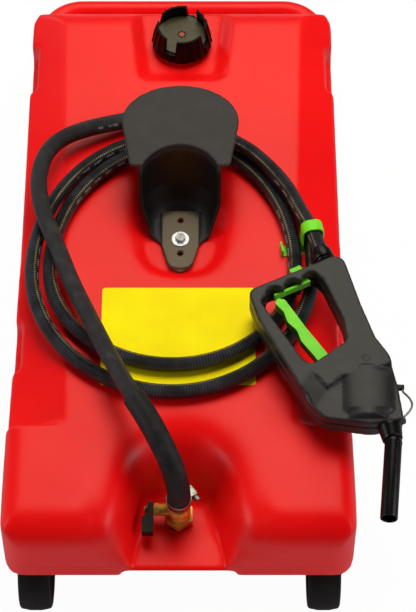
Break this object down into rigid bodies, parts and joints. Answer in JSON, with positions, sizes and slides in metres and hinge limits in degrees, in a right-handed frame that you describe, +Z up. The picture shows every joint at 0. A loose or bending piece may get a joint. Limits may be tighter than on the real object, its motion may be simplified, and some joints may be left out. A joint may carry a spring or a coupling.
{
  "type": "wheeled fuel caddy",
  "caption": "Red moulded fuel tank on wheels, lying on its back, with ball valve, coiled hose on a hook, filler cap and a trigger handle with spout.",
  "frame": {"origin": "middle of the footprint, at floor height, hoses left out", "axes": "+Z up, +Y from the wheels towards the carrying handle, +X to the right seen from the wheel end"},
  "size_m": [0.5701, 1.0294, 0.3489],
  "materials": {
    "tank_plastic": "moulded, satin gloss",
    "black_plastic": "moulded, fine grain",
    "olive_plastic": "smooth",
    "green_plastic": "moulded, satin",
    "wheel_plastic": "moulded, dull",
    "hose_rubber": "cloth-marked rubber",
    "seal_rubber": "smooth",
    "brass": "machined",
    "steel": "zinc plated",
    "white_plastic": "smooth"
  },
  "bodies": {
    "caddy": {"tank": "tank_plastic", "hose_hook": "black_plastic", "hook_bolt": "steel", "hook_washer": "steel", "axle": "steel", "axle_washers": "steel", "push_nuts": "steel", "outlet_gasket": "seal_rubber", "valve_body": "brass", "valve_seats": "white_plastic", "packing_nut": "brass", "valve_barb": "brass", "clamp_band": "steel", "clamp_screw": "steel", "hose_sleeve": "hose_rubber", "supply_hose": "hose_rubber", "hose_coupling": "brass", "hose_coil": "hose_rubber", "hose_tail": "hose_rubber", "hose_clip": "green_plastic", "pump_front_shell": "black_plastic", "pump_rear_shell": "black_plastic", "shell_screws": "steel", "inlet_collar": "black_plastic", "flow_tube": "white_plastic", "valve_block": "white_plastic", "trigger_pin": "steel", "trigger_spring": "steel", "spout": "black_plastic", "spout_nut": "black_plastic"},
    "left_wheel": {"wheel_left": "wheel_plastic"},
    "right_wheel": {"wheel_right": "wheel_plastic"},
    "cap_seal": {"cap_gasket": "seal_rubber"},
    "cap": {"filler_cap": "black_plastic", "cap_disc": "olive_plastic"},
    "lever": {"valve_lever": "black_plastic", "lever_nut": "steel", "valve_stem": "brass", "valve_ball": "steel"},
    "trigger_arm": {"trigger": "green_plastic"},
    "plunger_rod": {"plunger": "white_plastic"},
    "latch": {"trigger_latch": "green_plastic"},
    "bail": {"hang_wire": "steel"}
  },
  "joints": [
    {"name": "left_wheel_spin", "type": "hinge", "parent": "caddy", "child": "left_wheel", "pos_m": [-0.2465, -0.44473, 0.07], "axis": [1, 0, 0], "continuous": true},
    {"name": "right_wheel_spin", "type": "hinge", "parent": "caddy", "child": "right_wheel", "pos_m": [0.1675, -0.44473, 0.07], "axis": [1, 0, 0], "continuous": true},
    {"name": "cap_lift", "type": "slide", "parent": "caddy", "child": "cap_seal", "axis": [0, 0.1145, 0.9934], "range_m": [0, 0.0121]},
    {"name": "cap_turn", "type": "hinge", "parent": "cap_seal", "child": "cap", "pos_m": [-0.0395, 0.3781, 0.20469], "axis": [0, 0.1145, 0.9934], "range_deg": [0, 720]},
    {"name": "lever_turn", "type": "hinge", "parent": "caddy", "child": "lever", "pos_m": [-0.0395, -0.41829, 0.20335], "axis": [-1, 0, 0], "range_deg": [0, 90]},
    {"name": "trigger_pull", "type": "hinge", "parent": "caddy", "child": "trigger_arm", "pos_m": [0.1655, -0.23882, 0.30195], "axis": [0, -0.1145, -0.9934], "range_deg": [0, 18], "stiffness_Nm_per_rad": 1, "springref_deg": -17.19},
    {"name": "plunger_slide", "type": "slide", "parent": "caddy", "child": "plunger_rod", "axis": [0, -0.9934, 0.1145], "range_m": [0, 0.005]},
    {"name": "latch_slide", "type": "slide", "parent": "caddy", "child": "latch", "axis": [0.4415, -0.8914, 0.1027], "range_m": [0, 0.004]},
    {"name": "bail_swing", "type": "hinge", "parent": "caddy", "child": "bail", "pos_m": [0.2715, -0.30439, 0.30951], "axis": [0, 0.9934, -0.1145], "range_deg": [-60, 60]}
  ],
  "couplings": [
    {"joint": "cap_lift", "follows": "cap_turn", "m_per_rad": 0.00095493},
    {"joint": "plunger_slide", "follows": "trigger_pull", "m_per_rad": 0.0155}
  ]
}
